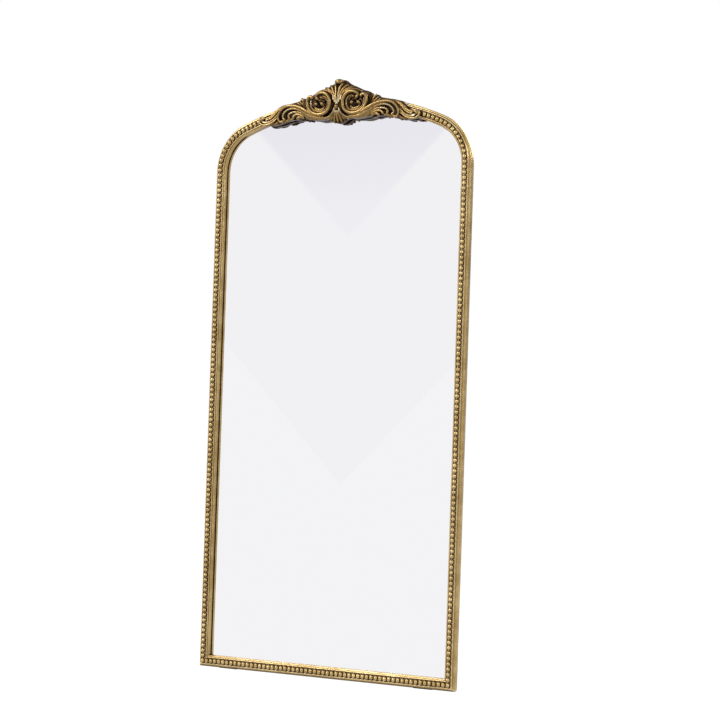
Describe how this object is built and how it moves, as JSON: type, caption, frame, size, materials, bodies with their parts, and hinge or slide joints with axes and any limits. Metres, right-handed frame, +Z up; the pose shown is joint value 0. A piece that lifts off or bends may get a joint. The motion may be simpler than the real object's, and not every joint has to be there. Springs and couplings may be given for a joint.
{
  "type": "leaning floor mirror",
  "caption": "Tall arched floor mirror in a beaded antique-brass frame with a carved scrollwork crest; leans on a wall or hangs by rings on its back.",
  "frame": {"origin": "middle of the bounding box's footprint, on the floor under the frame", "axes": "+X to the right seen from the front, +Y towards the wall, so the glass faces -Y, and +Z up"},
  "size_m": [0.8658, 0.0628, 1.7017],
  "materials": {
    "gilded_moulding": "antique brass leaf and umber glaze over moulded wood, satin",
    "gilded_beading": "antique brass leaf and umber glaze over moulded composition, satin",
    "gilded_casting": "antique brass leaf and umber glaze over cast resin, rubbed bright on the edges",
    "silvered_glass": "clear float glass silvered on the back",
    "fibreboard": "raw dark brown fibreboard",
    "beech": "raw",
    "zinc_steel": "bright zinc plate",
    "rubber": "matt black"
  },
  "bodies": {
    "frame": {"arch_dowels": "beech", "arch_half_left": "gilded_moulding", "arch_half_right": "gilded_moulding", "backing_board": "fibreboard", "bead_strip_arch_left": "gilded_beading", "bead_strip_arch_right": "gilded_beading", "bead_strip_bottom": "gilded_beading", "bead_strip_left": "gilded_beading", "bead_strip_right": "gilded_beading", "board_screws": "zinc_steel", "bottom_rail": "gilded_moulding", "corner_plate_left": "zinc_steel", "corner_plate_right": "zinc_steel", "crest_centre": "gilded_casting", "crest_screws": "zinc_steel", "crest_wing_left": "gilded_casting", "crest_wing_right": "gilded_casting", "crown_plate": "zinc_steel", "floor_pad_left": "rubber", "floor_pad_right": "rubber", "glass_spacer_lower_left": "rubber", "glass_spacer_lower_right": "rubber", "glass_spacer_upper_left": "rubber", "glass_spacer_upper_right": "rubber", "hanger_screws": "zinc_steel", "hanger_strap_left": "zinc_steel", "hanger_strap_right": "zinc_steel", "mirror_glass": "silvered_glass", "mitre_spline_left": "beech", "mitre_spline_right": "beech", "plate_screws": "zinc_steel", "setting_block_left": "rubber", "setting_block_right": "rubber", "shoulder_plate_left": "zinc_steel", "shoulder_plate_right": "zinc_steel", "stile_left": "gilded_moulding", "stile_right": "gilded_moulding", "wall_bumper_lower_left": "rubber", "wall_bumper_lower_right": "rubber", "wall_bumper_upper_left": "rubber", "wall_bumper_upper_right": "rubber"},
    "ring_left": {"hanger_ring_left": "zinc_steel"},
    "ring_right": {"hanger_ring_right": "zinc_steel"}
  },
  "joints": [
    {"name": "hanger_ring_left_swing", "type": "hinge", "parent": "frame", "child": "ring_left", "pos_m": [-0.4203, 0.02591, 1.25], "axis": [1, 0, 0], "range_deg": [0, 172]},
    {"name": "hanger_ring_right_swing", "type": "hinge", "parent": "frame", "child": "ring_right", "pos_m": [0.4203, 0.02591, 1.25], "axis": [1, 0, 0], "range_deg": [0, 172]}
  ]
}
